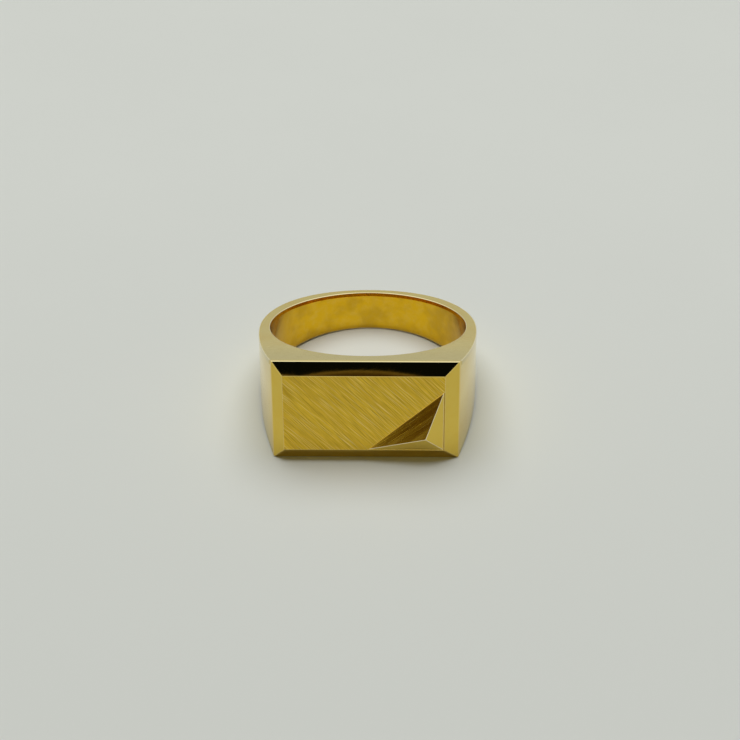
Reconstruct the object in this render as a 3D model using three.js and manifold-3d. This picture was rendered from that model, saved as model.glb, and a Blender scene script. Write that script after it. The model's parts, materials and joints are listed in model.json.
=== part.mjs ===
// A gold signet ring with a rectangular bevelled face and a raised three-sided facet in one corner.
// It is built as a goldsmith builds a box-headed ring: a solid tapered shank runs round the back of
// the finger, and a hollow head closed by thin sheet is soldered between its two ends.
//
// Millimetres. The ring is drawn about its finger bore: the bore's axis is Z, the face looks to -Y
// and the finger's sides are X. At the end it is laid on its lower side, as it rests on a table.

import * as THREE from "three";
import { ConvexGeometry } from "three/addons/geometries/ConvexGeometry.js";
import { mergeVertices } from "three/addons/utils/BufferGeometryUtils.js";
import Module from "manifold-3d";

const wasm = await Module();
wasm.setup();

// Driving dimensions.

// Finger bore and shank
const boreDiameter = 20;
const backWall = 1.1; // shank thickness at the back of the finger
const sideWall = 1.12; // shank thickness at the sides of the finger
const backWidth = 4.1; // width of the band at the back
const shankFullness = 0.615; // how full its quarters are: 0.55 makes the outside round

// Head
const faceLength = 18.3; // across the finger, at the outer edge of the bevels
const faceHeight = 10.7; // along the finger, at the outer edge of the bevels
const headDepth = 1.94; // from the bore to the outer edge of the bevels
const sideHollow = 0.35; // how far each side of the ring curves in between the face and the back
const shoulderStart = 0.5; // where the shoulders leave the shank, in front of the bore's axis
const shoulderEase = 6; // where they turn towards the face, in front of the bore's axis
const shankEnd = 3; // where the solid shank stops and the hollow head starts

// Signet plate
const plateLand = 0.4; // the straight rim below the bevels
const bevelRise = 0.9; // from the outer edge of the bevels up to the table
const bevelWidth = { top: 1.2, bottom: 1.3, left: 1.1, right: 1.4 };

// Raised corner facet, measured from the table's lower right corner
const facetLength = 7.4; // along the table's lower edge
const facetHeight = 6.4; // up the table's right edge
const facetPeak = { left: 1.75, up: 1.5, rise: 0.78 };
const facetLand = 0.08; // its straight edge above the table, below the three slopes
const facetInset = 0.12; // from the table's edges
const facetSeat = 0.15; // how deep it is let into the table

// Sheet and joints
const cheekSheet = 0.5;
const shoulderSheet = 0.5;
const floorSheet = 0.5;
const ventDiameter = 1; // lets the air out of the hollow head while it is soldered
const solderGap = 0.03; // the space that the solder fills

// Facets of the curved surfaces
const arcSteps = 96; // round the whole bore
const curveSteps = 20; // along each curve of the outline
const hollowSteps = 16; // along the hollowed sides
const ventSteps = 16;

// Places that follow from them.

const boreRadius = boreDiameter / 2;
const back = boreRadius + backWall;
const side = boreRadius + sideWall;
const faceEdge = -(boreRadius + headDepth);
const plateBack = faceEdge + plateLand;
const table = faceEdge - bevelRise;
const tableLeft = -faceLength / 2 + bevelWidth.left;
const tableRight = faceLength / 2 - bevelWidth.right;
const tableTop = faceHeight / 2 - bevelWidth.top;
const tableBottom = -faceHeight / 2 + bevelWidth.bottom;
const facetRight = tableRight - facetInset;
const facetBottom = tableBottom + facetInset;
const beyond = 5; // how far a cutting block reaches past what it cuts
const reach = boreRadius + 2 * beyond;

// Half of the ring's width along the finger, at a distance y behind the bore's axis.
function halfWidth(y) {
  const along = (y - faceEdge) / (back - faceEdge);
  const taper = faceHeight / 2 + (backWidth - faceHeight) / 2 * along;
  return taper - sideHollow * 4 * along * (1 - along);
}

// Solids.

function toSolid(geometry) {
  const bare = geometry.clone();
  bare.deleteAttribute("normal");
  bare.deleteAttribute("uv");
  const merged = mergeVertices(bare, 1e-4);
  return new wasm.Manifold(new wasm.Mesh({
    numProp: 3,
    vertProperties: new Float32Array(merged.attributes.position.array),
    triVerts: new Uint32Array(merged.index.array),
  }));
}

function toGeometry(solid) {
  const { vertProperties, triVerts } = solid.getMesh();
  const geometry = new THREE.BufferGeometry();
  geometry.setAttribute("position", new THREE.BufferAttribute(vertProperties, 3));
  geometry.setIndex(new THREE.BufferAttribute(triVerts, 1));
  const flat = geometry.toNonIndexed();
  flat.computeVertexNormals();
  return flat;
}

// A plan shape, drawn in X and Y, raised through the whole width of the ring.
function prism(shape) {
  const depth = faceHeight + 2 * beyond;
  const settings = { depth, bevelEnabled: false, curveSegments: curveSteps };
  return toSolid(new THREE.ExtrudeGeometry(shape, settings).translate(0, 0, -depth / 2));
}

// The room between two heights that change along Y, as wide as the ring in X.
function layer(lower, upper) {
  const ys = [faceEdge - beyond];
  for (let step = 0; step <= hollowSteps; step++) {
    ys.push(faceEdge + (back - faceEdge) * step / hollowSteps);
  }
  ys.push(back + beyond);
  const points = ys.map((y) => new THREE.Vector2(y, lower(y)));
  points.push(...ys.toReversed().map((y) => new THREE.Vector2(y, upper(y))));
  const settings = { depth: 2 * reach, bevelEnabled: false };
  const geometry = new THREE.ExtrudeGeometry(new THREE.Shape(points), settings);
  // The shape's own axes become Y and Z, and it runs along X.
  const turn = new THREE.Matrix4().set(0, 0, 1, 0, 1, 0, 0, 0, 0, 1, 0, 0, 0, 0, 0, 1);
  return toSolid(geometry.translate(0, 0, -reach).applyMatrix4(turn));
}

// The part of the ring between two distances along Y.
function stretch(from, to) {
  const geometry = new THREE.BoxGeometry(2 * reach, to - from, 2 * reach);
  return toSolid(geometry.translate(0, (from + to) / 2, 0));
}

// The shoulder's curve, from the shank to the corner of the face, on the side that sign gives.
function shoulderCurve(sign) {
  return new THREE.QuadraticBezierCurve(
    new THREE.Vector2(sign * side, -shoulderStart),
    new THREE.Vector2(sign * side, -shoulderEase),
    new THREE.Vector2(sign * faceLength / 2, faceEdge),
  );
}

// The outline of the whole ring round the bore, with the bore left open.
function bandShape() {
  const corner = faceLength / 2;
  const backHandle = side * shankFullness;
  const sideHandle = (back + shoulderStart) * shankFullness - shoulderStart;
  const shape = new THREE.Shape();
  shape.moveTo(-corner, faceEdge);
  shape.lineTo(corner, faceEdge);
  shape.quadraticCurveTo(side, -shoulderEase, side, -shoulderStart);
  shape.bezierCurveTo(side, sideHandle, backHandle, back, 0, back);
  shape.bezierCurveTo(-backHandle, back, -side, sideHandle, -side, -shoulderStart);
  shape.quadraticCurveTo(-side, -shoulderEase, -corner, faceEdge);
  return shape;
}

function disc(radius) {
  const geometry = new THREE.CylinderGeometry(radius, radius, faceHeight + 4 * beyond, arcSteps);
  return toSolid(geometry.rotateX(Math.PI / 2));
}

const bore = disc(boreRadius);
const band = prism(bandShape()).subtract(bore);
const wholeWidth = layer((y) => -halfWidth(y), halfWidth);
const betweenCheeks = (y) => halfWidth(y) - cheekSheet - solderGap;
const insideWidth = layer((y) => -betweenCheeks(y), betweenCheeks);
const head = stretch(plateBack + solderGap, -shankEnd - solderGap);

// Pieces.

// The solid band round the back of the finger, tapering to its narrowest opposite the face.
function shank() {
  return band.intersect(wholeWidth).intersect(stretch(-shankEnd, back + beyond));
}

// The curved sheet that lies on the finger under the head, with the vent behind the plate.
function fingerFloor() {
  const sheet = disc(boreRadius + floorSheet).subtract(bore);
  const vent = new THREE.CylinderGeometry(ventDiameter / 2, ventDiameter / 2, beyond, ventSteps);
  const cutter = toSolid(vent.translate(0, faceEdge, 0));
  return sheet.intersect(insideWidth).intersect(stretch(faceEdge, -shankEnd - solderGap)).subtract(cutter);
}

// The sheet that closes one end of the head, from the shank to the plate.
function shoulder(sign) {
  const curve = shoulderCurve(sign);
  const outside = [];
  const inside = [];
  for (let step = 0; step <= curveSteps; step++) {
    const point = curve.getPoint(step / curveSteps);
    const along = curve.getTangent(step / curveSteps);
    const inward = new THREE.Vector2(sign * along.y, -sign * along.x);
    outside.push(point);
    inside.push(point.clone().addScaledVector(inward, shoulderSheet));
  }
  return prism(new THREE.Shape([...outside, ...inside.reverse()])).intersect(insideWidth).intersect(head);
}

// The crescent sheet that closes the head above or below the finger.
function cheek(sign) {
  const skin = (y) => sign * halfWidth(y);
  const under = (y) => sign * (halfWidth(y) - cheekSheet);
  const sheet = sign > 0 ? layer(under, skin) : layer(skin, under);
  return band.intersect(sheet).intersect(head);
}

// Four corners of an upright rectangle at y, from its left, right, bottom and top.
function rectangle(y, left, right, bottom, top) {
  const corners = [[left, bottom], [right, bottom], [right, top], [left, top]];
  return corners.map(([x, z]) => new THREE.Vector3(x, y, z));
}

// The facet's triangle at y, grown on every side by a clearance about the middle of its inner circle.
function facetOutline(y, clearance) {
  const radius = (facetLength + facetHeight - Math.hypot(facetLength, facetHeight)) / 2;
  const centre = new THREE.Vector3(facetRight - radius, y, facetBottom + radius);
  const corners = [
    new THREE.Vector3(facetRight, y, facetBottom),
    new THREE.Vector3(facetRight - facetLength, y, facetBottom),
    new THREE.Vector3(facetRight, y, facetBottom + facetHeight),
  ];
  return corners.map((corner) => corner.sub(centre).multiplyScalar(1 + clearance / radius).add(centre));
}

// The face: a straight rim, four bevels and the flat table, with a shallow seat for the facet.
function signetPlate() {
  const spread = (side - faceLength / 2) / (-shoulderEase - faceEdge);
  const backLength = faceLength / 2 + plateLand * spread;
  const backHeight = halfWidth(plateBack);
  const plate = new ConvexGeometry([
    ...rectangle(plateBack, -backLength, backLength, -backHeight, backHeight),
    ...rectangle(faceEdge, -faceLength / 2, faceLength / 2, -faceHeight / 2, faceHeight / 2),
    ...rectangle(table, tableLeft, tableRight, tableBottom, tableTop),
  ]);
  const seat = new ConvexGeometry([
    ...facetOutline(table + facetSeat, solderGap),
    ...facetOutline(table - beyond, solderGap),
  ]);
  return toSolid(plate).subtract(toSolid(seat));
}

// The three-sided point on the lower right corner of the table.
function cornerFacet() {
  const left = facetRight - facetPeak.left;
  return toSolid(new ConvexGeometry([
    ...facetOutline(table + facetSeat - solderGap, 0),
    ...facetOutline(table - facetLand, 0),
    new THREE.Vector3(left, table - facetPeak.rise, facetBottom + facetPeak.up),
  ]));
}

// Finishes.

const polished = { color: 0xc9a24a, roughness: 0.12, metalness: 1 };
const satin = { color: 0xb08f3c, roughness: 0.42, metalness: 1 };
const brightCut = { color: 0xb8912f, roughness: 0.2, metalness: 1 };

function piece(name, solid, finish) {
  const mesh = new THREE.Mesh(toGeometry(solid), new THREE.MeshStandardMaterial(finish));
  mesh.name = name;
  return mesh;
}

const ring = new THREE.Group();
ring.add(
  piece("shank", shank(), polished),
  piece("finger_floor", fingerFloor(), polished),
  piece("left_shoulder", shoulder(-1), polished),
  piece("right_shoulder", shoulder(1), polished),
  piece("upper_cheek", cheek(1), polished),
  piece("lower_cheek", cheek(-1), polished),
  piece("signet_plate", signetPlate(), satin),
  piece("corner_facet", cornerFacet(), brightCut),
);

// The ring rests on the plate's lower edge and on the lower edge of its back, because its sides are
// hollow between them. The origin is on the table under the middle of the ring.
const restTilt = Math.atan((halfWidth(faceEdge) - halfWidth(back)) / (back - faceEdge));
ring.rotation.x = -restTilt;

const part = new THREE.Group();
part.add(ring);
const extent = new THREE.Box3().setFromObject(part, true);
const middle = extent.getCenter(new THREE.Vector3());
ring.position.set(-middle.x, -middle.y, -extent.min.z);

export default part;
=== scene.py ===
"""A gold signet ring lying on a pale table.

A solid tapering shank runs round the back of the finger. A hollow head of thin sheet, a floor, two
shoulders and two cheeks, closes the front, and carries a bevelled plate with a raised corner facet.
"""

import json
import math

import bmesh
import bpy
from mathutils import Matrix, Vector


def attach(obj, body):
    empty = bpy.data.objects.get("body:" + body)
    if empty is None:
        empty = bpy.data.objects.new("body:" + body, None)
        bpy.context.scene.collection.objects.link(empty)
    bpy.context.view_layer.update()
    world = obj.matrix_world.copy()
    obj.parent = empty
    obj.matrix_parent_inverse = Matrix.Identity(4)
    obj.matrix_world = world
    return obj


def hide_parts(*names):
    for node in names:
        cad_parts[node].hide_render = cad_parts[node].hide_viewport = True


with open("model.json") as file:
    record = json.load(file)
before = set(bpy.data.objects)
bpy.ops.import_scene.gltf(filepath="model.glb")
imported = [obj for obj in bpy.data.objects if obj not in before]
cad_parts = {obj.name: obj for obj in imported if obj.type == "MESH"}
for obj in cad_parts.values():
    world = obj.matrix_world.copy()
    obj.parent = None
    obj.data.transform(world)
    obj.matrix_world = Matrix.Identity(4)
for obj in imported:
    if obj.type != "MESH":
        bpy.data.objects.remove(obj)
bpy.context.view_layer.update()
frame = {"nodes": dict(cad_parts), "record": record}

bl_info = {
    "name": "Signet Ring",
    "version": (1, 0, 0),
    "blender": (4, 5, 0),
    "location": "3D View > Sidebar > Signet Ring",
    "description": "Builds a box-headed gold signet ring and the table it lies on",
    "category": "Object",
}

MM = 0.001


# ---------------------------------------------------------------------------------------------
# The frame
# ---------------------------------------------------------------------------------------------

RECORD = frame["record"]
TABLE_NORMAL = Vector(RECORD["mounts"][0]["axis"])
REST_TILT = math.atan2(TABLE_NORMAL.z, -TABLE_NORMAL.y)
UPRIGHT = Matrix.Rotation(REST_TILT, 3, "X")
LAID = UPRIGHT.inverted()


def upright_box(node):
    """Lowest and highest corners of a CAD node, turned so that the bore's axis is upright."""
    points = [UPRIGHT @ vertex.co for vertex in frame["nodes"][node].data.vertices]
    low = Vector([min(point[axis] for point in points) for axis in range(3)])
    high = Vector([max(point[axis] for point in points) for axis in range(3)])
    return low, high


SHANK_LOW, SHANK_HIGH = upright_box("shank")
PLATE_LOW, PLATE_HIGH = upright_box("signet_plate")
FACET_LOW, FACET_HIGH = upright_box("corner_facet")


# ---------------------------------------------------------------------------------------------
# Settings
# ---------------------------------------------------------------------------------------------

def length(name, description, default):
    return bpy.props.FloatProperty(
        name=name, description=description, default=default, min=0.0, unit="LENGTH", precision=5)


def share(name, description, default):
    return bpy.props.FloatProperty(
        name=name, description=description, default=default, min=0.0, subtype="FACTOR")


def angle(name, description, degrees):
    return bpy.props.FloatProperty(
        name=name, description=description, default=math.radians(degrees), unit="ROTATION")


def colour(name, description, default):
    return bpy.props.FloatVectorProperty(
        name=name, description=description, default=default, size=3, min=0.0, max=1.0, subtype="COLOR")


class SignetSizes(bpy.types.PropertyGroup):
    """Sizes of the ring's pieces."""

    bore_radius: length("Bore Radius", "Radius of the finger bore", 10 * MM)
    back_wall: length("Back Wall", "Thickness of the shank opposite the face", 1.1 * MM)
    shank_fullness: share("Shank Fullness", "How full the quarters are, 0.55 for a round outside", 0.615)
    back_width: length("Back Width", "Width of the band opposite the face", 4.1 * MM)
    side_hollow: length("Side Hollow", "How far the sides curve in between the face and the back", 0.35 * MM)
    face_length: length("Face Length", "Length of the face across the finger", 18.3 * MM)
    face_height: length("Face Height", "Height of the face along the finger", PLATE_HIGH.z - PLATE_LOW.z)
    shoulder_start: length("Shoulder Start", "Where the shoulders leave the shank", 0.5 * MM)
    shoulder_ease: length("Shoulder Ease", "Where the shoulders turn towards the face", 6 * MM)
    cheek_sheet: length("Cheek Sheet", "Thickness of the cheeks", 0.5 * MM)
    floor_sheet: length("Floor Sheet", "Thickness of the floor", 0.5 * MM)
    shoulder_sheet: length("Shoulder Sheet", "Thickness of the shoulders", 0.5 * MM)
    vent_diameter: length("Vent Diameter", "Hole in the floor behind the plate", 1 * MM)
    plate_land: length("Plate Land", "Straight rim of the plate below its bevels", 0.4 * MM)
    bevel_top: length("Top Bevel", "Width of the top bevel", 1.2 * MM)
    bevel_bottom: length("Bottom Bevel", "Width of the bottom bevel", 1.3 * MM)
    bevel_left: length("Left Bevel", "Width of the left bevel", 1.1 * MM)
    bevel_right: length("Right Bevel", "Width of the right bevel", 1.4 * MM)
    facet_land: length("Facet Land", "Straight edge of the facet above the table", 0.08 * MM)
    facet_peak_left: length("Facet Peak Left", "Peak's distance from the facet's right edge", 1.75 * MM)
    facet_peak_up: length("Facet Peak Up", "Peak's distance from the facet's lower edge", 1.5 * MM)
    head_arris: length("Head Arris", "Rounding of the head's outer edges", 0.06 * MM)
    back_arris: length("Back Arris", "Rounding of the band's outer edges at the back", 0.3 * MM)
    bore_arris: length("Bore Arris", "Rounding of the bore's edges", 0.07 * MM)
    bore_ease: length("Bore Ease", "How far the bore opens out at its edges", 0.07 * MM)
    bore_ease_height: length("Bore Ease Height", "Where the bore begins to open out", 0.4 * MM)
    face_arris: length("Face Arris", "Rounding of the plate's outer edge", 0.08 * MM)
    table_arris: length("Table Arris", "Rounding of the edges round the table and the facet", 0.045 * MM)
    facet_arris: length("Facet Arris", "Rounding of the facet's edge over the table", 0.075 * MM)


class SignetFinish(bpy.types.PropertyGroup):
    """Colours and polish of the gold."""

    gold: colour("Gold", "Polished gold seen square on", (0.74, 0.58, 0.19))
    bevel_gold: colour("Bevel Gold", "Freshly cut bevels and facet", (0.75, 0.54, 0.10))
    deep_gold: colour("Deep Gold", "Gold where polish and light get least", (0.72, 0.46, 0.05))
    # Painted light, partly: deeper and more saturated than the outside gold, for light bounced between the
    # bore's walls.
    bore_gold: colour("Bore Gold", "Gold in the bore", (0.76, 0.46, 0.016))
    satin_gold: colour("Satin Gold", "Brushed table", (0.84, 0.565, 0.055))
    # Painted highlight, partly rubbed wear: the pale colour put on the arrises.
    worn_and_sheen_gold: colour("Worn And Sheen Gold", "Rubbed arrises and bright scratches", (0.97, 0.86, 0.56))
    # Painted shade: the colour the cheeks are painted towards, close to the plate.
    painted_shade_gold: colour("Painted Shade Gold", "Sides of the head close to the plate", (0.60, 0.48, 0.165))
    glint_gold: colour("Glint Gold", "Bright brush marks", (0.99, 0.80, 0.30))
    # Painted shade, partly: darker than the table's satin gold, for the dark surroundings the slope mirrors.
    facet_gold: colour("Facet Gold", "The facet's brushed slope", (0.74, 0.44, 0.03))
    # Bottom of the brush marks; also the painted shade in the strip beside the facet.
    mark_and_shade_gold: colour("Mark And Shade Gold", "Bottom of the deep brush marks", (0.42, 0.25, 0.02))
    polish: share("Polish", "Roughness of the polished faces", 0.09)
    satin: share("Satin", "Roughness of the brushed table", 0.34)
    slope: share("Slope", "Roughness of the facet's brushed slope", 0.11)
    mirror: share("Mirror", "Roughness of the cut bevels", 0.012)
    brush_angle: angle("Brush Angle", "Fall of the table's brush marks to the right", 46)


class SignetStage(bpy.types.PropertyGroup):
    """Table, camera and light."""

    floor_size: length("Floor Size", "Side of the table top", 1.6)
    floor_colour: colour("Floor Colour", "Table top", (0.70, 0.72, 0.68))
    horizon: colour("Horizon", "Surroundings near the table top", (0.60, 0.62, 0.58))
    dark_height: angle("Dark Height", "Height of the dark patch over the lens", 55)
    dark_reach: angle("Dark Reach", "Reach of the dark patch about its middle", 12)
    sun_strength: bpy.props.FloatProperty(
        name="Light Strength", description="Light from overhead on the table", default=2.75, min=0.0)
    sun_spread: angle("Light Spread", "Width of the overhead light", 58)
    sun_lean: angle("Light Lean", "Overhead light's lean to the back", 16)
    sun_side: angle("Light Side", "Overhead light's lean to the left", 1.5)
    view_distance: length("View Distance", "From the camera to the ring", 187.8 * MM)
    view_elevation: angle("View Elevation", "Camera above the table", 36.2)
    view_azimuth: angle("View Azimuth", "Camera round to the right", 1.45)
    view_roll: angle("View Roll", "Camera's roll", -0.59)
    aim_height: length("Aim Height", "Height of the point aimed at, over the table", 5 * MM)
    aim_right: bpy.props.FloatProperty(
        name="Aim Right", description="Sideways offset of the aim", default=0.2 * MM, unit="LENGTH")
    aim_up: bpy.props.FloatProperty(
        name="Aim Up", description="Upward offset of the aim", default=-2.86 * MM, unit="LENGTH")
    focal_length: bpy.props.FloatProperty(
        name="Focal Length", description="Lens on a 36 mm sensor", default=88.56, unit="CAMERA")


# ---------------------------------------------------------------------------------------------
# The ring's form
# ---------------------------------------------------------------------------------------------

def bezier(points, along):
    while len(points) > 1:
        points = [start.lerp(end, along) for start, end in zip(points, points[1:])]
    return points[0]


def smooth(value):
    value = min(1.0, max(0.0, value))
    return value * value * (3 - 2 * value)


class RingForm:
    """The ring's curves, drawn upright about its bore: Z along the finger, the face towards -Y."""

    def __init__(self, sizes):
        self.sizes = sizes
        self.bore = sizes.bore_radius
        self.back = sizes.bore_radius + sizes.back_wall
        self.side = SHANK_HIGH.x
        middle = (PLATE_LOW.z + PLATE_HIGH.z) / 2
        self.centre = Vector((0, SHANK_HIGH.y - self.back, middle))
        self.table = PLATE_LOW.y - self.centre.y
        self.plate_back = PLATE_HIGH.y - self.centre.y
        self.face_edge = self.plate_back - sizes.plate_land
        self.shank_end = SHANK_LOW.y - self.centre.y
        self.corner = Vector((sizes.face_length / 2, self.face_edge))
        self.turn = Vector((self.side, -sizes.shoulder_ease))
        self.start = Vector((self.side, -sizes.shoulder_start))
        self.table_left = sizes.bevel_left - sizes.face_length / 2
        self.table_right = sizes.face_length / 2 - sizes.bevel_right
        self.table_top = sizes.face_height / 2 - sizes.bevel_top
        self.table_bottom = sizes.bevel_bottom - sizes.face_height / 2

    def place(self, x, y, z):
        """From the upright drawing to the ring as it lies."""
        return LAID @ (self.centre + Vector((x, y, z)))

    def half_width(self, y):
        along = (y - self.face_edge) / (self.back - self.face_edge)
        taper = (self.sizes.face_height + (self.sizes.back_width - self.sizes.face_height) * along) / 2
        return taper - self.sizes.side_hollow * 4 * along * (1 - along)

    def shoulder(self, along):
        """Right outside of the head, from the shank at 0 to the corner of the face at 1."""
        return bezier([self.start, self.turn, self.corner], along)

    def shoulder_at(self, y):
        """How far along the shoulder a given Y is reached."""
        low, high = 0.0, 1.0
        for _ in range(40):
            middle = (low + high) / 2
            if self.shoulder(middle).y > y:
                low = middle
            else:
                high = middle
        return low

    def quarter(self, along):
        """Right outside of the shank, from the back at 0 to the shoulder at 1."""
        fullness = self.sizes.shank_fullness
        rise = (self.back + self.sizes.shoulder_start) * fullness - self.sizes.shoulder_start
        return bezier([
            Vector((0, self.back)),
            Vector((self.side * fullness, self.back)),
            Vector((self.side, rise)),
            self.start,
        ], along)

    def bore_point(self, turn):
        """A point of the bore, turned from +X towards +Y."""
        return Vector((math.cos(turn), math.sin(turn))) * self.bore


# ---------------------------------------------------------------------------------------------
# Mesh making
# ---------------------------------------------------------------------------------------------

SHARP = 0.002 * MM  # rounding of an edge that meets another piece
GUARD = 0.02 * MM  # from a rounding to the first point of the flat beside it
CRISP_ANGLE = math.radians(30)  # a fold past this angle is shaded as an edge
BEVEL_STEPS = 5
MERGE_REACH = 0.001 * MM  # points closer than this are one


def remapped(value, low, high, new_low, new_high):
    return new_low + (value - low) / (high - low) * (new_high - new_low)


def rounded(corners, radii, soft, arc_steps=6, edge_steps=4):
    """A closed outline of 2D points with its corners rounded, as (point, arris share) pairs.

    Soft corners don't get the pale arris colour, which is partly rubbed wear and partly painted highlight.
    Each straight stretch keeps a guard point close to both of its ends, so that the rounding doesn't show in
    the shading of the flat beside it.
    """
    arcs = []
    for index, corner in enumerate(corners):
        before = (corners[index - 1] - corner).normalized()
        after = (corners[(index + 1) % len(corners)] - corner).normalized()
        radius = radii[index]
        half = math.acos(max(-1.0, min(1.0, before.dot(after)))) / 2
        centre = corner + (before + after).normalized() * radius / math.sin(half)
        start = (corner + before * radius / math.tan(half) - centre).normalized()
        end = (corner + after * radius / math.tan(half) - centre).normalized()
        arcs.append([centre + start.slerp(end, step / arc_steps) * radius for step in range(arc_steps + 1)])
    outline = []
    for index, arc in enumerate(arcs):
        outline += [(point, 1.0 if radii[index] > GUARD and not soft[index] else 0.0) for point in arc]
        start = arc[-1]
        end = arcs[(index + 1) % len(arcs)][0]
        gap = (end - start).length
        for step in range(edge_steps + 1):
            share_along = remapped(step, 0, edge_steps, GUARD / gap, 1 - GUARD / gap)
            outline.append((start.lerp(end, share_along), 0.0))
    return outline


def loft(name, sections):
    """A closed body through sections of equally many (point, arris share) pairs, with flat ends; the arris
    share marks arrises painted paler, rubbed wear with a painted highlight.
    """
    mesh = bpy.data.meshes.new(name)
    body = bmesh.new()
    rubbed_and_sheen = body.verts.layers.float.new("rubbed_and_sheen")
    rings = []
    for section in sections:
        ring = []
        for point, wear_and_sheen in section:
            vertex = body.verts.new(point)
            vertex[rubbed_and_sheen] = wear_and_sheen
            ring.append(vertex)
        rings.append(ring)
    for first, second in zip(rings, rings[1:]):
        for index in range(len(first)):
            before = index - 1
            body.faces.new((first[before], first[index], second[index], second[before]))
    ends = [body.faces.new(rings[0][::-1]), body.faces.new(rings[-1])]
    bmesh.ops.recalc_face_normals(body, faces=body.faces)
    for face in body.faces:
        face.smooth = True
    for end in ends:
        end.smooth = False
        for edge in end.edges:
            edge.smooth = False
    body.to_mesh(mesh)
    body.free()
    return finished(name, mesh)


def finished(name, mesh):
    piece = bpy.data.objects.new(name, mesh)
    bpy.context.scene.collection.objects.link(piece)
    return piece


def made_plain(piece):
    """Turns the piece's modifiers into its mesh."""
    graph = bpy.context.evaluated_depsgraph_get()
    mesh = bpy.data.meshes.new_from_object(piece.evaluated_get(graph))
    old = piece.data
    piece.modifiers.clear()
    piece.data = mesh
    mesh.name = piece.name
    bpy.data.meshes.remove(old)
    return piece


def settle(piece, node):
    """Hangs the piece under the root body and hides the CAD node that it stands for."""
    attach(piece, "root")
    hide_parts(node)


# ---------------------------------------------------------------------------------------------
# Shader writing
# ---------------------------------------------------------------------------------------------

class Signal:
    """A node's output, with arithmetic that adds Math nodes."""

    def __init__(self, nodes, socket):
        self.nodes = nodes
        self.socket = socket

    def math(self, operation, *others):
        return self.nodes.add("ShaderNodeMath", {"operation": operation}, self, *others)

    def __add__(self, other):
        return self.math("ADD", other)

    __radd__ = __add__

    def __mul__(self, other):
        return self.math("MULTIPLY", other)

    __rmul__ = __mul__

    def __sub__(self, other):
        return self.math("SUBTRACT", other)

    def __rsub__(self, other):
        return self.nodes.add("ShaderNodeMath", {"operation": "SUBTRACT"}, other, self)

    def __truediv__(self, other):
        return self.math("DIVIDE", other)

    def __rtruediv__(self, other):
        return self.nodes.add("ShaderNodeMath", {"operation": "DIVIDE"}, other, self)

    def __pow__(self, other):
        return self.math("POWER", other)

    def ramp(self, low, high):
        """0 up to low, 1 from high on, and smooth between them."""
        settings = {"interpolation_type": "SMOOTHSTEP"}
        return self.nodes.add("ShaderNodeMapRange", settings, self, low, high)


class NodeWriter:
    """Adds nodes to a tree and links them."""

    def __init__(self, tree):
        self.tree = tree
        tree.nodes.clear()

    def add(self, kind, settings=None, *values, output=0, **named):
        """Adds a node, gives it its settings, then fills its sockets in order and by name."""
        node = self.tree.nodes.new(kind)
        for key, value in (settings or {}).items():
            setattr(node, key, value)
        open_sockets = [socket for socket in node.inputs if socket.enabled]
        for socket, value in zip(open_sockets, values):
            self.fill(socket, value)
        for key, value in named.items():
            wanted = key.replace("_", " ")
            self.fill(next(socket for socket in open_sockets if socket.name == wanted), value)
        outputs = [socket for socket in node.outputs if socket.enabled]
        if isinstance(output, str):
            return Signal(self, node.outputs[output])
        return Signal(self, outputs[output]) if outputs else node

    def fill(self, socket, value):
        if isinstance(value, Signal):
            self.tree.links.new(value.socket, socket)
        elif value is not None:
            socket.default_value = value

    def mix(self, factor, first, second):
        """A colour between two others."""
        settings = {"data_type": "RGBA"}
        return self.add("ShaderNodeMix", settings, Factor=factor, A=rgba(first), B=rgba(second))

    def noise(self, vector, scale, detail=2.0, roughness=0.5):
        return self.add(
            "ShaderNodeTexNoise", None, Vector=vector, Scale=scale, Detail=detail, Roughness=roughness)

    def dot(self, vector, direction):
        return self.add(
            "ShaderNodeVectorMath", {"operation": "DOT_PRODUCT"}, vector, direction, output="Value")


def rgba(value):
    return value if isinstance(value, Signal) else (*value, 1.0)


class GoldFinish(NodeWriter):
    """One gold material, from what varies over its surface."""

    def __init__(self, name):
        self.material = bpy.data.materials.new(name)
        self.material.use_nodes = True
        super().__init__(self.material.node_tree)
        self.place = self.add("ShaderNodeTexCoord", None, output="Object")
        self.rubbed_and_sheen = self.add("ShaderNodeAttribute", {"attribute_name": "rubbed_and_sheen"}, output="Fac")

    def streaks(self, along, across, long_step, wide_step, detail=3.0):
        """Noise drawn out along one direction of the ring and narrow across it."""
        vector = self.add(
            "ShaderNodeCombineXYZ", None,
            self.dot(self.place, along) / long_step, self.dot(self.place, across) / wide_step)
        return self.noise(vector, 1.0, detail)

    def shade(self, base_colour, roughness, height, depth):
        """Finishes the material: height is a relief of the given depth in metres."""
        normal = self.add("ShaderNodeBump", None, Strength=1.0, Distance=depth, Height=height)
        surface = self.add(
            "ShaderNodeBsdfPrincipled", None,
            Base_Color=base_colour, Roughness=roughness, Normal=normal, Metallic=1.0)
        self.add("ShaderNodeOutputMaterial", None, Surface=surface)
        return self.material


BUFFED_RELIEF = 0.001 * MM  # depth of the orange peel that buffing leaves
BEVEL_RELIEF = 0.0001 * MM
CUT_RELIEF = 0.0004 * MM
BRUSHED_RELIEF = 0.006 * MM
SLOPE_CONTRAST = 0.45  # of the facet's brush marks against the table's
HAIRLINE_ALONG, HAIRLINE_ACROSS = (0.94, 0.3, 0.16), (-0.2, 0.35, 0.91)


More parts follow.
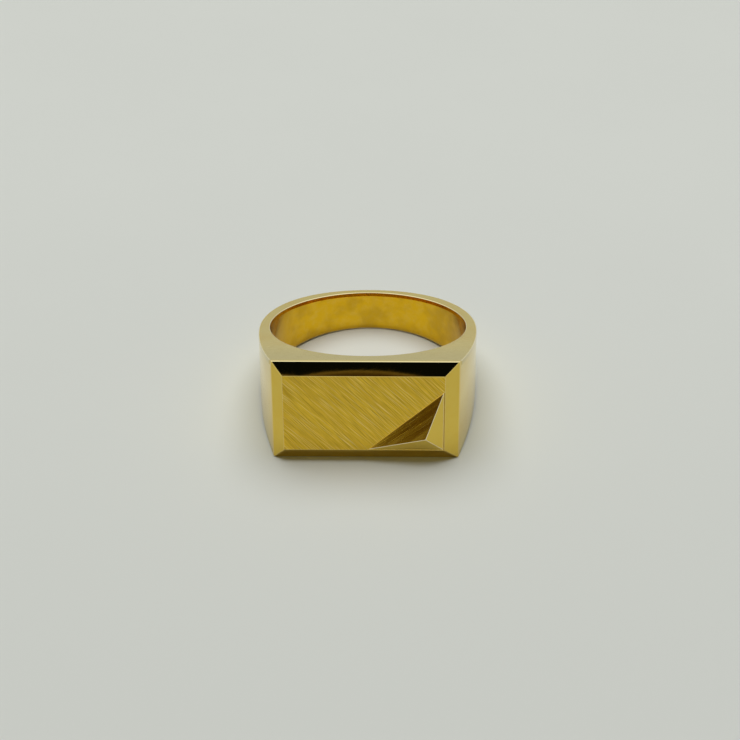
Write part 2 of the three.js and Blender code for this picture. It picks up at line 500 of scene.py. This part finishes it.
def polished_gold(name, form, finish, gold, polish, relief=BUFFED_RELIEF, shade_by_plate=None):
    """Buffed gold: faint clouding, hairline scratches, and arrises painted paler, partly as rubbed wear and
    partly as a painted highlight.

    Inside the bore the gold is deeper and more blotched; its deeper tone is painted light bounced between the
    bore's walls. A colour given for close to the plate is painted shade there.
    """
    writer = GoldFinish(name)
    across = writer.dot(writer.place, LAID @ Vector((1, 0, 0)))
    forward = writer.dot(writer.place, LAID @ Vector((0, 1, 0))) - form.centre.y
    radius = (across * across + forward * forward) ** 0.5 / form.bore
    bore = 1 - radius.ramp(1.002, 1.012)  # 1 on the finger's side, as a share of the bore's radius
    clouds = writer.noise(writer.place, 1 / (2.3 * MM), 3)
    smears = writer.noise(writer.place, 1 / (0.7 * MM), 4, 0.6)
    hairlines = writer.streaks(HAIRLINE_ALONG, HAIRLINE_ACROSS, 2.5 * MM, 0.06 * MM, 4)
    orange_peel = writer.noise(writer.place, 1 / (0.45 * MM), 2)
    tone = writer.mix(clouds.ramp(0.4, 0.75) * 0.3, gold, finish.deep_gold)
    tone = writer.mix(smears.ramp(0.45, 0.8) * 0.2, tone, finish.deep_gold)
    # Inside the bore: a deeper gold, painted for light bounced between its walls, with random blotches.
    blotches = writer.mix(smears.ramp(0.35, 0.75) * 0.18, finish.bore_gold, finish.gold)
    blotches = writer.mix(clouds.ramp(0.42, 0.66) * 0.42, blotches, finish.mark_and_shade_gold)
    # Painted shade: the outside is painted darker towards the plate.
    if shade_by_plate is not None:
        tone = writer.mix(forward.ramp(-5 * MM, -10.5 * MM) * 0.9, tone, shade_by_plate)
    tone = writer.mix(bore, tone, blotches)
    # Painted highlight, partly rubbed wear: the arrises are painted paler.
    tone = writer.mix(writer.rubbed_and_sheen * 0.75, tone, finish.worn_and_sheen_gold)
    worn = 1 + smears.ramp(0.45, 0.75) * 0.6 + hairlines.ramp(0.6, 0.8) * 0.5 + bore * 0.5
    roughness = worn * polish
    height = orange_peel * 0.5 + hairlines * 0.12 + clouds
    return writer.shade(tone, roughness, height, relief)


def brushed_gold(name, finish, gold, satin, brush_angle, contrast=1.0, long_step=5 * MM):
    """Gold brushed one way: fine streaks, broader bands and a few deep stray marks.

    It is painted dark in the narrow strip beside the facet: painted shade in that recess.
    """
    writer = GoldFinish(name)

    def brush(turn, length_of, width_of, detail):
        along = LAID @ Vector((math.cos(turn), 0, -math.sin(turn)))
        across = LAID @ Vector((math.sin(turn), 0, math.cos(turn)))
        return writer.streaks(along, across, length_of, width_of, detail)

    bands = brush(brush_angle, long_step * 2, 0.6 * MM, 1)
    fine = brush(brush_angle, long_step / 3, 0.09 * MM, 3)
    glints = brush(brush_angle - math.radians(3), long_step * 0.8, 0.08 * MM, 0)
    strays = brush(brush_angle + math.radians(4), long_step * 0.8, 0.11 * MM, 0)
    clouds = writer.noise(writer.place, 1 / (2.4 * MM), 3)
    marks = strays.ramp(0.56, 0.72)
    tone = writer.mix(bands.ramp(0.35, 0.65) * (0.4 * contrast), gold, finish.deep_gold)
    tone = writer.mix(fine.ramp(0.3, 0.7) * (0.45 * contrast), tone, finish.mark_and_shade_gold)
    tone = writer.mix(marks * (0.5 * contrast), tone, finish.mark_and_shade_gold)
    tone = writer.mix(glints.ramp(0.58, 0.74) * (0.45 * contrast), tone, finish.glint_gold)
    # Painted shade: the table is painted dark in the narrow strip beside the facet's foot.
    beside = writer.dot(writer.place, (1, 0, 0)).ramp(FACET_HIGH.x - 0.01 * MM, FACET_HIGH.x + 0.02 * MM)
    below = writer.dot(writer.place, LAID @ Vector((0, 0, 1))).ramp(FACET_HIGH.z, FACET_HIGH.z - 0.1 * MM)
    tone = writer.mix(beside * below * 0.85, tone, finish.mark_and_shade_gold)
    tone = writer.mix(clouds.ramp(0.4, 0.75) * 0.2, tone, finish.deep_gold)
    # Painted highlight, partly rubbed wear: the arrises are painted paler.
    tone = writer.mix(writer.rubbed_and_sheen * 0.9, tone, finish.worn_and_sheen_gold)
    roughness = satin + bands.ramp(0.3, 0.7) * 0.08 - writer.rubbed_and_sheen * 0.12
    height = fine * 0.6 + bands * 0.5 - marks * 0.5
    return writer.shade(tone, roughness, height, BRUSHED_RELIEF * contrast)


# ---------------------------------------------------------------------------------------------
# Pieces
# ---------------------------------------------------------------------------------------------

def shank_outline(form, shoulder_steps=14, quarter_steps=70):
    """Outside of the shank, from its right end round the back to its left end."""
    end = form.shoulder_at(form.shank_end)
    right = [form.shoulder(end * (1 - step / shoulder_steps)) for step in range(shoulder_steps)]
    right += [form.quarter(1 - step / quarter_steps) for step in range(quarter_steps)]
    left = [Vector((-point.x, point.y)) for point in reversed(right)]
    return right + [form.quarter(0)] + left


def band_section(form, inner, outer, radii, heights, eased=(False, False)):
    """A section of a piece between a plan point on the bore and one on the outside.

    heights gives the lower and upper edge at a Y; the edge follows it exactly between the corners.
    eased says whether the bore opens out a little before its lower and upper edge. radii are those
    of the corners, from the bore's lower edge round to its upper edge.
    """
    span = (outer - inner).length
    ends = [heights(inner.y), heights(outer.y)]
    step, drop = form.sizes.bore_ease, form.sizes.bore_ease_height
    corners = [Vector((0, ends[0][0])), Vector((span, ends[1][0]))]
    corners += [Vector((span, ends[1][1])), Vector((0, ends[0][1]))]
    radii = list(radii)
    soft = [False] * len(radii)
    if eased[0]:
        corners[0].x = step
        corners.insert(0, Vector((0, ends[0][0] + drop)))
        radii.insert(0, drop)
        soft.insert(0, True)
    if eased[1]:
        corners[-1].x = step
        corners.append(Vector((0, ends[0][1] - drop)))
        radii.append(drop)
        soft.append(True)
    section = []
    for point, wear_and_sheen in rounded(corners, radii, soft):
        plan = inner.lerp(outer, point.x / span)
        low, high = heights(plan.y)
        straight_low = ends[0][0] + (ends[1][0] - ends[0][0]) * point.x / span
        straight_high = ends[0][1] + (ends[1][1] - ends[0][1]) * point.x / span
        z = remapped(point.y, straight_low, straight_high, low, high)
        section.append((form.place(plan.x, plan.y, z), wear_and_sheen))
    return section


def make_shank(form):
    sizes = form.sizes
    outline = shank_outline(form)
    first = math.atan2(outline[0].y, outline[0].x)
    inner_first = math.asin(form.shank_end / form.bore)
    sections = []
    for outer in outline:
        turn = math.atan2(outer.y, outer.x)
        if turn < -math.pi / 2:
            turn += 2 * math.pi
        inner_turn = remapped(turn, first, math.pi - first, inner_first, math.pi - inner_first)
        inner = form.bore_point(inner_turn)
        backness = smooth(remapped(outer.y, form.shank_end, form.back, 0, 1))
        arris = sizes.head_arris + (sizes.back_arris - sizes.head_arris) * backness
        radii = [sizes.bore_arris, arris, arris, sizes.bore_arris]
        sections.append(band_section(
            form, inner, outer, radii, lambda y: (-form.half_width(y), form.half_width(y)), (True, True)))
    return loft("tapered_shank", sections)


def make_cheek(form, sign, shoulder_steps=30, front_steps=40):
    """The crescent sheet above (1) or below (-1) the finger."""
    sizes = form.sizes
    start = form.shoulder_at(form.shank_end)
    end = form.shoulder_at(form.plate_back)
    stations = []
    for step in range(shoulder_steps + 1):
        along = remapped(step, 0, shoulder_steps, start, end)
        stations.append((form.shoulder(along), sizes.head_arris))
    corner = stations[-1][0]
    first = math.atan2(stations[0][0].y, stations[0][0].x)
    last = math.atan2(corner.y, corner.x)
    inner_first = math.asin(form.shank_end / form.bore)
    right = []
    for outer, arris in stations:
        turn = remapped(math.atan2(outer.y, outer.x), first, last, inner_first, last)
        right.append((form.bore_point(turn), outer, arris))
    beside = corner.x - 0.01 * MM
    for step in range(front_steps):
        outer = Vector((beside * (1 - step / front_steps), form.plate_back))
        right.append((form.bore_point(math.atan2(outer.y, outer.x)), outer, SHARP))
    middle = (Vector((0, -form.bore)), Vector((0, form.plate_back)), SHARP)
    left = [(Vector((-inner.x, inner.y)), Vector((-outer.x, outer.y)), arris)
            for inner, outer, arris in reversed(right)]
    sections = []
    for inner, outer, arris in right + [middle] + left:
        if sign > 0:
            radii = [SHARP, SHARP, arris, sizes.bore_arris]
            heights = lambda y: (form.half_width(y) - sizes.cheek_sheet, form.half_width(y))
        else:
            radii = [sizes.bore_arris, arris, SHARP, SHARP]
            heights = lambda y: (-form.half_width(y), sizes.cheek_sheet - form.half_width(y))
        sections.append(band_section(form, inner, outer, radii, heights, (sign < 0, sign > 0)))
    return loft("upper_cheek_sheet" if sign > 0 else "lower_cheek_sheet", sections)


def make_shoulder(form, sign, steps=40):
    """The end wall of the head on the right (1) or left (-1)."""
    sizes = form.sizes
    start = form.shoulder_at(form.shank_end)
    end = form.shoulder_at(form.plate_back)
    inset = sizes.cheek_sheet
    heights = lambda y: (inset - form.half_width(y), form.half_width(y) - inset)
    sections = []
    for step in range(steps + 1):
        along = remapped(step, 0, steps, start, end)
        outer = form.shoulder(along)
        tangent = (form.shoulder(along + 0.001) - form.shoulder(along - 0.001)).normalized()
        inner = outer + Vector((tangent.y, -tangent.x)) * sizes.shoulder_sheet
        inner.x *= sign
        outer = Vector((outer.x * sign, outer.y))
        sections.append(band_section(form, inner, outer, [SHARP] * 4, heights))
    return loft("right_shoulder_sheet" if sign > 0 else "left_shoulder_sheet", sections)


def floor_tree():
    """Geometry nodes that bend a block into the floor and drill its vent."""
    tree = bpy.data.node_groups.new("Finger Floor", "GeometryNodeTree")
    sockets = [
        ("Bore Radius", "NodeSocketFloat"),
        ("Sheet", "NodeSocketFloat"),
        ("End Angle", "NodeSocketFloat"),
        ("Face Edge", "NodeSocketFloat"),
        ("Back", "NodeSocketFloat"),
        ("Face Width", "NodeSocketFloat"),
        ("Back Width", "NodeSocketFloat"),
        ("Side Hollow", "NodeSocketFloat"),
        ("Cheek Sheet", "NodeSocketFloat"),
        ("Vent Diameter", "NodeSocketFloat"),
        ("Centre", "NodeSocketVector"),
        ("Rest Tilt", "NodeSocketFloat"),
        ("Gold", "NodeSocketMaterial"),
    ]
    for label, kind in sockets:
        tree.interface.new_socket(name=label, in_out="INPUT", socket_type=kind)
    tree.interface.new_socket(name="Geometry", in_out="OUTPUT", socket_type="NodeSocketGeometry")
    writer = NodeWriter(tree)
    given = tree.nodes.new("NodeGroupInput")
    value = {label: Signal(writer, given.outputs[label]) for label, _ in sockets}
    around, through, high, vent_sides = 161, 2, 13, 32
    block = writer.add("GeometryNodeMeshCube", None, (1, 1, 1), around, through, high)
    position = writer.add("GeometryNodeInputPosition")
    parts = writer.add("ShaderNodeSeparateXYZ", None, position)
    across = [Signal(writer, parts.socket.node.outputs[axis]) for axis in range(3)]
    turn = across[0] * 2 * value["End Angle"]
    radius = value["Bore Radius"] + (0.5 - across[1]) * value["Sheet"]
    x = radius * turn.math("SINE")
    y = radius * turn.math("COSINE") * -1
    along = (y - value["Face Edge"]) / (value["Back"] - value["Face Edge"])
    width = value["Face Width"] + (value["Back Width"] - value["Face Width"]) * along
    half = width / 2 - value["Side Hollow"] * 4 * along * (1 - along) - value["Cheek Sheet"]
    bent = writer.add("ShaderNodeCombineXYZ", None, x, y, across[2] * 2 * half)
    floor = writer.add("GeometryNodeSetPosition", None, block, Position=bent)
    drill_radius, drill_length = value["Vent Diameter"] / 2, value["Sheet"] * 4
    hole = writer.add("GeometryNodeMeshCylinder", None, vent_sides, 1, 1, drill_radius, drill_length)
    reach = writer.add("ShaderNodeCombineXYZ", None, 0.0, value["Bore Radius"] * -1, 0.0)
    # Turned by half of one of its sides, so that no corner of the drill falls on a line of the block.
    drill_turn = (math.pi / 2, math.pi / vent_sides, 0)
    hole = writer.add("GeometryNodeTransform", None, hole, Translation=reach, Rotation=drill_turn)
    floor = writer.add("GeometryNodeMeshBoolean", {"operation": "DIFFERENCE", "solver": "EXACT"}, floor, hole)
    floor = writer.add("GeometryNodeMergeByDistance", None, floor, Distance=MERGE_REACH)
    floor = writer.add("GeometryNodeSetShadeSmooth", None, floor, Shade_Smooth=True)
    bend = writer.add("GeometryNodeInputMeshEdgeAngle")
    crisp = writer.add("FunctionNodeCompare", {"operation": "GREATER_THAN"}, bend, CRISP_ANGLE)
    floor = writer.add("GeometryNodeSetShadeSmooth", {"domain": "EDGE"}, floor, crisp, False)
    tilt = writer.add("ShaderNodeCombineXYZ", None, value["Rest Tilt"] * -1, 0.0, 0.0)
    floor = writer.add("GeometryNodeTransform", None, floor, Translation=value["Centre"])
    floor = writer.add("GeometryNodeTransform", None, floor, Rotation=tilt)
    floor = writer.add("GeometryNodeRealizeInstances", None, floor)
    floor = writer.add("GeometryNodeSetMaterial", None, floor, Material=value["Gold"])
    writer.add("NodeGroupOutput", None, floor)
    return tree


def make_floor(form, gold):
    sizes = form.sizes
    piece = finished("bent_floor", bpy.data.meshes.new("bent_floor"))
    modifier = piece.modifiers.new("Floor", "NODES")
    modifier.node_group = floor_tree()
    given = {
        "Bore Radius": form.bore,
        "Sheet": sizes.floor_sheet,
        "End Angle": math.pi / 2 + math.asin(form.shank_end / form.bore),
        "Face Edge": form.face_edge,
        "Back": form.back,
        "Face Width": sizes.face_height,
        "Back Width": sizes.back_width,
        "Side Hollow": sizes.side_hollow,
        "Cheek Sheet": sizes.cheek_sheet,
        "Vent Diameter": sizes.vent_diameter,
        "Centre": form.centre,
        "Rest Tilt": REST_TILT,
        "Gold": gold,
    }
    for socket in modifier.node_group.interface.items_tree:
        if socket.in_out == "INPUT":
            modifier[socket.identifier] = given[socket.name]
    return made_plain(piece)


def faceted(name, form, corners, faces, arrises, finishes, wear_and_sheen):
    """A flat-faced body whose listed edges are rounded, each by its own width.

    The wear function says how pale an arris that faces a given way is painted: rubbed wear with a painted
    highlight.
    """
    widest = max(arrises.values())
    mesh = bpy.data.meshes.new(name)
    body = bmesh.new()
    vertices = [body.verts.new(form.place(*corner)) for corner in corners]
    for face, finish_index in faces:
        body.faces.new([vertices[index] for index in face]).material_index = finish_index
    bmesh.ops.recalc_face_normals(body, faces=body.faces)
    weight = body.edges.layers.float.new("bevel_weight_edge")
    for edge in body.edges:
        edge.smooth = False
    for (first, second), width in arrises.items():
        edge = body.edges.get((vertices[first], vertices[second]))
        if edge is None:
            raise RuntimeError(f"{name} has no edge between corners {first} and {second}")
        edge[weight] = width / widest
        edge.smooth = True
    for face in body.faces:
        face.smooth = True
    body.to_mesh(mesh)
    body.free()
    for finish in finishes:
        mesh.materials.append(finish)
    piece = finished(name, mesh)
    bevel = piece.modifiers.new("Arrises", "BEVEL")
    bevel.limit_method = "WEIGHT"
    bevel.width = widest
    bevel.segments = BEVEL_STEPS
    bevel.offset_type = "OFFSET"
    bevel.harden_normals = True
    made_plain(piece)
    rubbed_and_sheen = piece.data.attributes.new("rubbed_and_sheen", "FLOAT", "FACE")
    for face in piece.data.polygons:
        corners_of = [piece.data.vertices[index].co for index in face.vertices]
        shortest = min((corners_of[index - 1] - corner).length for index, corner in enumerate(corners_of))
        rubbed_and_sheen.data[face.index].value = wear_and_sheen(face.normal) if shortest < widest / 2 else 0.0
    return piece


def make_plate(form, finishes):
    """The bevelled plate: corners run round the back, the outer edge and the table."""
    sizes = form.sizes
    back_x = form.shoulder(form.shoulder_at(form.plate_back)).x
    back_z = form.half_width(form.plate_back)
    edge_x, edge_z = form.corner.x, sizes.face_height / 2
    corners = []
    for y, left, right, bottom, top in (
        (form.plate_back, -back_x, back_x, -back_z, back_z),
        (form.face_edge, -edge_x, edge_x, -edge_z, edge_z),
        (form.table, form.table_left, form.table_right, form.table_bottom, form.table_top),
    ):
        corners += [(left, y, bottom), (right, y, bottom), (right, y, top), (left, y, top)]
    polished, brushed = 0, 1
    faces = [((0, 1, 2, 3), polished), ((8, 9, 10, 11), brushed)]
    arrises = {}
    for index in range(4):
        after = (index + 1) % 4
        for level in (0, 4):
            faces.append(((index + level, after + level, after + level + 4, index + level + 4), polished))
        arrises[(index, index + 4)] = sizes.face_arris
        arrises[(index + 4, after + 4)] = sizes.face_arris
        arrises[(index + 4, index + 8)] = sizes.table_arris
        arrises[(index + 8, after + 8)] = sizes.table_arris
    # Painted highlight: arrises facing up, towards the overhead light, are painted palest.
    facing_up, wear_and_sheen_up, wear_and_sheen_elsewhere = 0.72, 1.0, 0.2
    return faceted(
        "bevelled_plate", form, corners, faces, arrises, finishes,
        lambda normal: wear_and_sheen_up if normal.z > facing_up else wear_and_sheen_elsewhere)


def make_facet(form, finishes):
    """The raised facet: its foot, its straight land and the peak of its three slopes."""
    sizes = form.sizes
    right = FACET_HIGH.x
    left = FACET_LOW.x
    bottom = FACET_LOW.z - form.centre.z
    top = FACET_HIGH.z - form.centre.z
    foot = FACET_HIGH.y - form.centre.y
    peak = FACET_LOW.y - form.centre.y
    land = form.table - sizes.facet_land
    corners = []
    for y in (foot, land):
        corners += [(right, y, bottom), (left, y, bottom), (right, y, top)]
    corners.append((right - sizes.facet_peak_left, peak, bottom + sizes.facet_peak_up))
    bright, brushed = 0, 1
    faces = [((0, 1, 2), bright), ((0, 1, 4, 3), bright), ((1, 2, 5, 4), bright), ((2, 0, 3, 5), bright),
             ((3, 4, 6), bright), ((4, 5, 6), brushed), ((5, 3, 6), bright)]
    arrises = {pair: sizes.table_arris for pair in ((3, 4), (5, 3), (3, 6), (4, 6), (5, 6))}
    arrises[(4, 5)] = sizes.facet_arris
    return faceted("raised_facet", form, corners, faces, arrises, finishes, lambda normal: 1.0)


# ---------------------------------------------------------------------------------------------
# Stage
# ---------------------------------------------------------------------------------------------

SENSOR_WIDTH = 36  # of the camera, in millimetres
ROOM_DARK = (0.003, 0.004, 0.004)
HAND_DARK = (0.05, 0.032, 0.01)
HAND_WARM = (0.15, 0.115, 0.065)
CARD_BROWN = (0.16, 0.11, 0.05)
LAMP_WHITE = (1.0, 1.0, 0.985)


def make_table_top(stage):
    half = stage.floor_size / 2
    mesh = bpy.data.meshes.new("table_top")
    mesh.from_pydata(
        [(-half, -half, 0), (half, -half, 0), (half, half, 0), (-half, half, 0)], [], [(0, 1, 2, 3)])
    table_top = finished("table_top", mesh)
    material = bpy.data.materials.new("table_paper")
    material.use_nodes = True
    writer = NodeWriter(material.node_tree)
    place = writer.add("ShaderNodeTexCoord", None, output="Object")
    mottle = writer.noise(place, 1 / (30 * MM), 4, 0.6)
    grain = writer.noise(place, 1 / (0.4 * MM), 2)
    backwards = writer.dot(place, (0, 1, 0))
    # Painted shade: the table top is painted darker towards the front, for the light falling off there.
    near_dimming, fade_reach = 0.93, 60 * MM
    near = Vector(stage.floor_colour) * near_dimming
    tone = writer.mix(backwards.ramp(-fade_reach, fade_reach), near, stage.floor_colour)
    tone = writer.mix(mottle.ramp(0.3, 0.7) * 0.2, tone, near)
    normal = writer.add("ShaderNodeBump", None, Strength=0.15, Distance=0.02 * MM, Height=grain)
    surface = writer.add(
        "ShaderNodeBsdfPrincipled", None, Base_Color=tone, Roughness=0.85, Normal=normal)
    writer.add("ShaderNodeOutputMaterial", None, Surface=surface)
    mesh.materials.append(material)


def make_camera(stage, form):
    elevation, azimuth, roll = stage.view_elevation, stage.view_azimuth, stage.view_roll
    level_reach = math.cos(elevation)
    back = Vector((math.sin(azimuth) * level_reach, -math.cos(azimuth) * level_reach, math.sin(elevation)))
    level = Vector((0, 0, 1)).cross(back).normalized()
    upward = back.cross(level)
    right = level * math.cos(roll) + upward * math.sin(roll)
    up = upward * math.cos(roll) - level * math.sin(roll)
    under_bore = form.place(0, 0, 0)
    under_bore.z = 0
    aim = under_bore + Vector((0, 0, stage.aim_height)) + right * stage.aim_right + up * stage.aim_up
    lens = bpy.data.cameras.new("camera")
    lens.sensor_width = SENSOR_WIDTH
    lens.lens = stage.focal_length
    lens.clip_start = 5 * MM
    camera = bpy.data.objects.new("camera", lens)
    bpy.context.scene.collection.objects.link(camera)
    turned = Matrix((right, up, back)).transposed().to_4x4()
    camera.matrix_world = Matrix.Translation(aim + back * stage.view_distance) @ turned
    bpy.context.scene.camera = camera


def make_surroundings(stage):
    """What the gold mirrors: pale walls, a bright ceiling, and a dark patch over the lens."""
    world = bpy.data.worlds.new("soft_room")
    world.use_nodes = True
    bpy.context.scene.world = world
    world.cycles_visibility.diffuse = False
    writer = NodeWriter(world.node_tree)
    ray = writer.add("ShaderNodeTexCoord", None, output="Generated")
    height = writer.dot(ray, (0, 0, 1))
    lens = Vector((0, -math.cos(stage.dark_height), math.sin(stage.dark_height)))
    patch_fade, ceiling_gain, backdrop_gain = 1.7, 1.75, 1.05
    dark = writer.dot(ray, lens).ramp(math.cos(stage.dark_reach * patch_fade), math.cos(stage.dark_reach))
    bright = Vector(stage.horizon) * ceiling_gain
    pale = writer.mix(height.ramp(0.08, 0.8), stage.horizon, bright)
    # The hand round the lens, in degrees: a warm edge over a darker middle, arched to one side.
    degrees = math.degrees(1)
    hand_foot, hand_edge, hand_crown, hand_fall, hand_left = 52.8, 53.52, 53.82, 0.022, 2.0
    elevation = height.math("ARCSINE") * degrees
    sideways = writer.dot(ray, (1, 0, 0)).math("ARCTAN2", writer.dot(ray, (0, -1, 0))) * degrees
    off_middle = sideways + hand_left
    brim = hand_crown - off_middle * off_middle * hand_fall
    below_brim = (brim.math("MAXIMUM", hand_edge) - elevation).ramp(-0.02, 0.06)
    hand = below_brim * elevation.ramp(hand_foot, hand_foot + 0.3)
    hand_tone = writer.mix((brim - elevation).ramp(0.02, 0.14), HAND_WARM, HAND_DARK)
    room_tone = writer.mix(hand, ROOM_DARK, hand_tone)
    light = writer.mix(dark, pale, room_tone)
    seen = writer.add("ShaderNodeLightPath", None, output="Is Camera Ray")
    shown = writer.mix(seen, light, Vector(stage.horizon) * backdrop_gain)
    background = writer.add("ShaderNodeBackground", None, Color=shown, Strength=1.0)
    writer.add("ShaderNodeOutputWorld", None, Surface=background)


def make_overhead_light(stage):
    """The broad light that falls on the table top and rounds off the ring's shadow."""
    lamp = bpy.data.lights.new("overhead_light", "SUN")
    lamp.energy = stage.sun_strength
    lamp.angle = stage.sun_spread
    lamp.color = LAMP_WHITE
    light = bpy.data.objects.new("overhead_light", lamp)
    light.rotation_euler = (-stage.sun_lean, -stage.sun_side, 0)
    light.visible_glossy = False
    bpy.context.scene.collection.objects.link(light)


def make_dark_card(stage):
    """A low dark card in front, fading out at its edges, only for the facet's slope to mirror."""
    distance, left, right, height, fade = 75 * MM, -75 * MM, 25 * MM, 24 * MM, 30 * MM
    corners = [(left, 0), (right, 0), (right, height), (left, height)]
    mesh = bpy.data.meshes.new("dark_card")
    mesh.from_pydata([(x, -distance, z) for x, z in corners], [], [(0, 1, 2, 3)])
    card = finished("dark_card", mesh)
    material = bpy.data.materials.new("dark_card")
    material.use_nodes = True
    writer = NodeWriter(material.node_tree)
    place = writer.add("ShaderNodeTexCoord", None, output="Object")
    across = writer.dot(place, (1, 0, 0))
    shown = across.ramp(left, left + fade) * across.ramp(right, right - fade)
    shown = shown * writer.dot(place, (0, 0, 1)).ramp(height, height / 2)
    clear = writer.add("ShaderNodeBsdfTransparent", None)
    dark = writer.add("ShaderNodeBsdfDiffuse", None, rgba(CARD_BROWN))
    surface = writer.add("ShaderNodeMixShader", None, shown, clear, dark)
    writer.add("ShaderNodeOutputMaterial", None, Surface=surface)
    mesh.materials.append(material)
    card.visible_camera = False
    card.visible_diffuse = False
    card.visible_shadow = False


# ---------------------------------------------------------------------------------------------
# Operators
# ---------------------------------------------------------------------------------------------

def settings(context):
    scene = context.scene
    return RingForm(scene.signet_sizes), scene.signet_finish, scene.signet_stage


def coat(piece, *finishes):
    for finish in finishes:
        piece.data.materials.append(finish)


class SIGNET_OT_shank(bpy.types.Operator):
    """Makes the solid band round the back of the finger"""

    bl_idname = "signet.shank"
    bl_label = "Make Shank"

    def execute(self, context):
        form, finish, _ = settings(context)
        piece = make_shank(form)
        coat(piece, polished_gold("shank_gold", form, finish, finish.gold, finish.polish))
        settle(piece, "shank")
        return {"FINISHED"}


class SIGNET_OT_head(bpy.types.Operator):
    """Makes the sheets that close the hollow head: floor, shoulders and cheeks"""

    bl_idname = "signet.head"
    bl_label = "Make Head"

    def execute(self, context):
        form, finish, _ = settings(context)
        cheek_gold = polished_gold(
            "cheek_gold", form, finish, finish.gold, finish.polish, shade_by_plate=finish.painted_shade_gold)
        shoulder_gold = polished_gold("shoulder_gold", form, finish, finish.gold, finish.polish)
        # The floor takes the bore's gold, with its painted bounced light.
        floor_gold = polished_gold("floor_gold", form, finish, finish.bore_gold, finish.polish)
        for sign in (1, -1):
            sheets = ((make_cheek(form, sign), cheek_gold), (make_shoulder(form, sign), shoulder_gold))
            for piece, gold in sheets:
                coat(piece, gold)
                settle(piece, piece.name.removesuffix("_sheet"))
        settle(make_floor(form, floor_gold), "finger_floor")
        return {"FINISHED"}


class SIGNET_OT_plate(bpy.types.Operator):
    """Makes the bevelled signet plate with its brushed table"""

    bl_idname = "signet.plate"
    bl_label = "Make Signet Plate"

    def execute(self, context):
        form, finish, _ = settings(context)
        finishes = (
            polished_gold("bevel_gold", form, finish, finish.bevel_gold, finish.mirror, BEVEL_RELIEF),
            brushed_gold("table_gold", finish, finish.satin_gold, finish.satin, finish.brush_angle),
        )
        settle(make_plate(form, finishes), "signet_plate")
        return {"FINISHED"}


class SIGNET_OT_facet(bpy.types.Operator):
    """Makes the raised three-sided facet in the table's corner"""

    bl_idname = "signet.facet"
    bl_label = "Make Corner Facet"

    def execute(self, context):
        form, finish, _ = settings(context)
        rise = math.atan2(FACET_HIGH.z - FACET_LOW.z, FACET_HIGH.x - FACET_LOW.x)
        finishes = (
            polished_gold("bright_cut_gold", form, finish, finish.bevel_gold, finish.mirror, CUT_RELIEF),
            # The slope's darker gold is painted shade.
            brushed_gold("slope_gold", finish, finish.facet_gold, finish.slope, -rise, SLOPE_CONTRAST),
        )
        settle(make_facet(form, finishes), "corner_facet")
        return {"FINISHED"}


class SIGNET_OT_stage(bpy.types.Operator):
    """Makes the table top, the soft light and the camera"""

    bl_idname = "signet.stage"
    bl_label = "Make Stage"

    def execute(self, context):
        form, _, stage = settings(context)
        make_table_top(stage)
        make_surroundings(stage)
        make_overhead_light(stage)
        make_dark_card(stage)
        make_camera(stage, form)
        context.scene.view_settings.view_transform = "Standard"
        return {"FINISHED"}


OPERATORS = (SIGNET_OT_shank, SIGNET_OT_head, SIGNET_OT_plate, SIGNET_OT_facet, SIGNET_OT_stage)


class SIGNET_PT_panel(bpy.types.Panel):
    """Lists the ring's pieces and sizes"""

    bl_idname = "SIGNET_PT_panel"
    bl_label = "Signet Ring"
    bl_space_type = "VIEW_3D"
    bl_region_type = "UI"
    bl_category = "Signet Ring"

    def draw(self, context):
        for operator in OPERATORS:
            self.layout.operator(operator.bl_idname)
        for name in GROUPS:
            group = getattr(context.scene, name)
            box = self.layout.box()
            for key in group.__annotations__:
                box.prop(group, key)


GROUPS = {"signet_sizes": SignetSizes, "signet_finish": SignetFinish, "signet_stage": SignetStage}
CLASSES = (*GROUPS.values(), *OPERATORS, SIGNET_PT_panel)


def register():
    for cls in CLASSES:
        bpy.utils.register_class(cls)
    for key, group in GROUPS.items():
        setattr(bpy.types.Scene, key, bpy.props.PointerProperty(type=group))


def unregister():
    for key in GROUPS:
        delattr(bpy.types.Scene, key)
    for cls in reversed(CLASSES):
        bpy.utils.unregister_class(cls)


def main():
    register()
    for operator in OPERATORS:
        getattr(bpy.ops.signet, operator.bl_idname.split(".")[1])()


if __name__ == "__main__":
    main()
